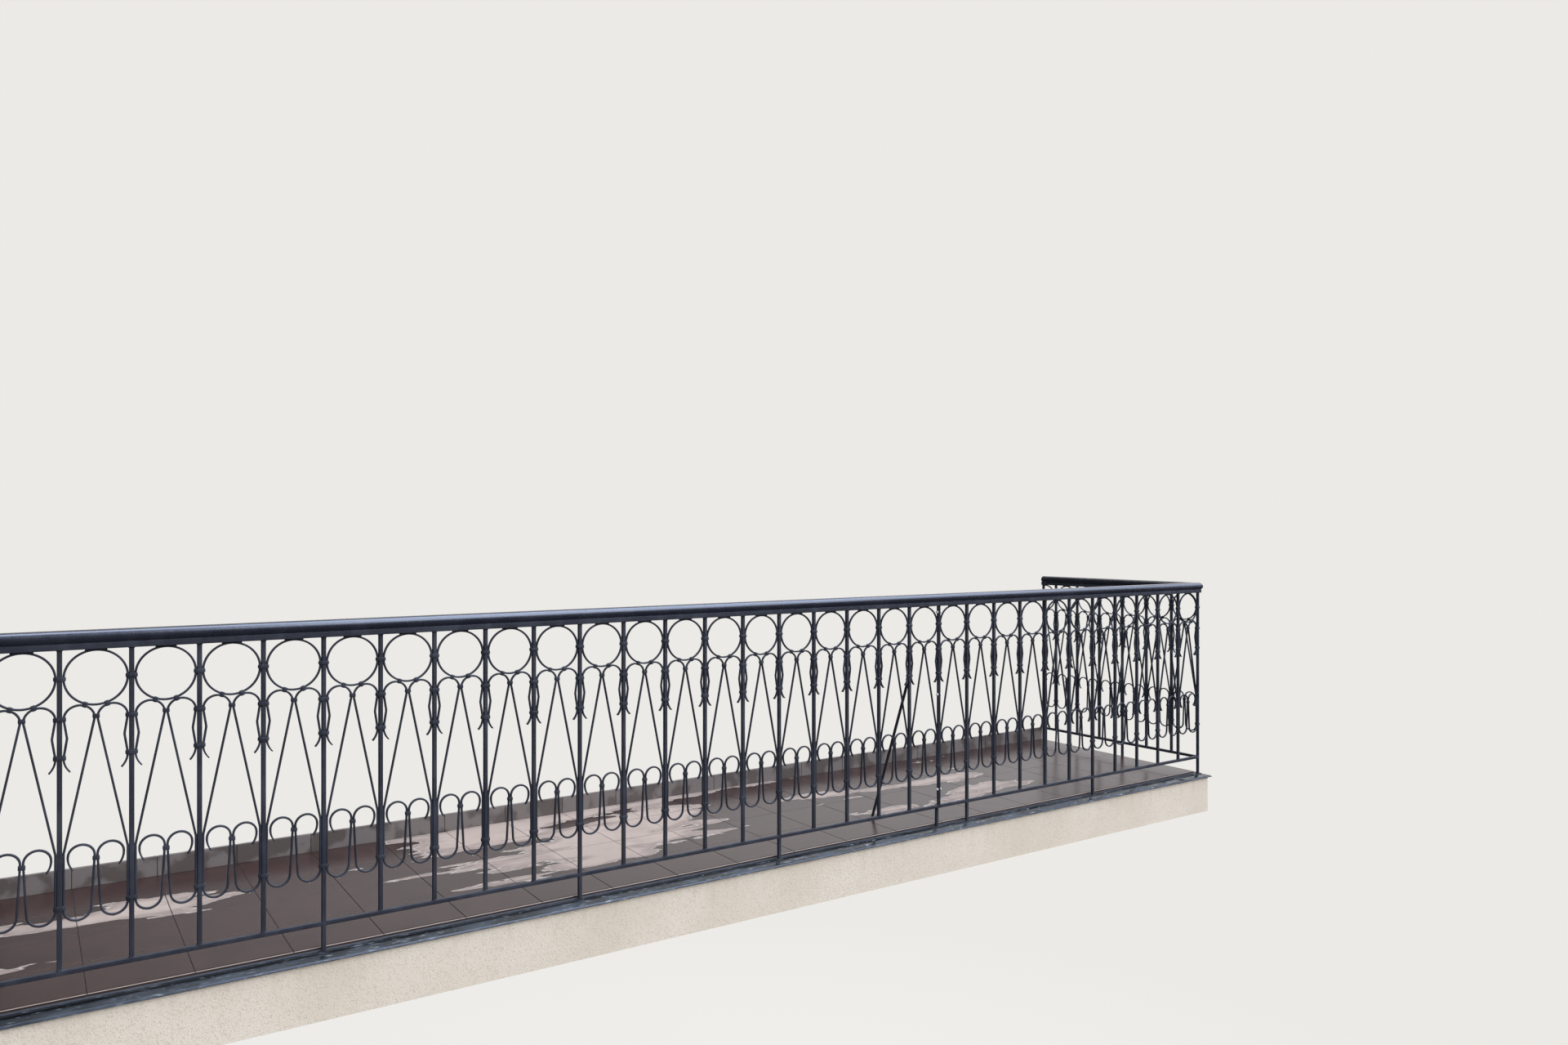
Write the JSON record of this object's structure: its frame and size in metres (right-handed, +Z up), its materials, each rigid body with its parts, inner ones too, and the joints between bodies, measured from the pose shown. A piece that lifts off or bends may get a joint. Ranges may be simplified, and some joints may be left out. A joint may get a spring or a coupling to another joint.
{
  "type": "projecting balcony with forged scrollwork railing",
  "caption": "Long wall-hung balcony: a rendered concrete slab with tiled floor and sheet flashing, railed on its open sides by forged bars, rings and collared scrolls.",
  "frame": {"origin": "middle of the slab's flat wall face, at half the slab's thickness", "axes": "+Y into the wall, +Z up, +X along the wall to the right seen from outside"},
  "size_m": [5.942, 1.262, 1.349],
  "materials": {
    "painted_iron": "satin anthracite blue enamel on forged iron",
    "sheet_metal": "slate blue coated sheet, wet",
    "stucco": "rough pale render",
    "concrete": "plain concrete",
    "floor_tile": "brown unglazed tile, wet",
    "skirting_tile": "dark brown tile"
  },
  "bodies": {
    "root": {"slab": "concrete", "render_coat": "stucco", "tiled_floor": "floor_tile", "skirting": "skirting_tile", "flashing_front": "sheet_metal", "flashing_left": "sheet_metal", "flashing_right": "sheet_metal", "handrail_front_left": "painted_iron", "handrail_front_right": "painted_iron", "handrail_left": "painted_iron", "handrail_right": "painted_iron", "subrail_front_left": "painted_iron", "subrail_front_right": "painted_iron", "subrail_left": "painted_iron", "subrail_right": "painted_iron", "bottom_rail_front_left": "painted_iron", "bottom_rail_front_right": "painted_iron", "bottom_rail_left": "painted_iron", "bottom_rail_right": "painted_iron", "corner_post_left": "painted_iron", "corner_post_right": "painted_iron", "front_posts": "painted_iron", "side_posts_left": "painted_iron", "side_posts_right": "painted_iron", "splice_bars": "painted_iron", "splice_foot": "painted_iron", "raking_stay": "painted_iron", "bars_front_left": "painted_iron", "bars_front_right": "painted_iron", "bars_left": "painted_iron", "bars_right": "painted_iron", "rings_front_left": "painted_iron", "rings_front_right": "painted_iron", "rings_left": "painted_iron", "rings_right": "painted_iron", "scrolls_front_left": "painted_iron", "scrolls_front_right": "painted_iron", "scrolls_left": "painted_iron", "scrolls_right": "painted_iron", "collars_front_left": "painted_iron", "collars_front_right": "painted_iron", "collars_left": "painted_iron", "collars_right": "painted_iron"}
  },
  "joints": []
}
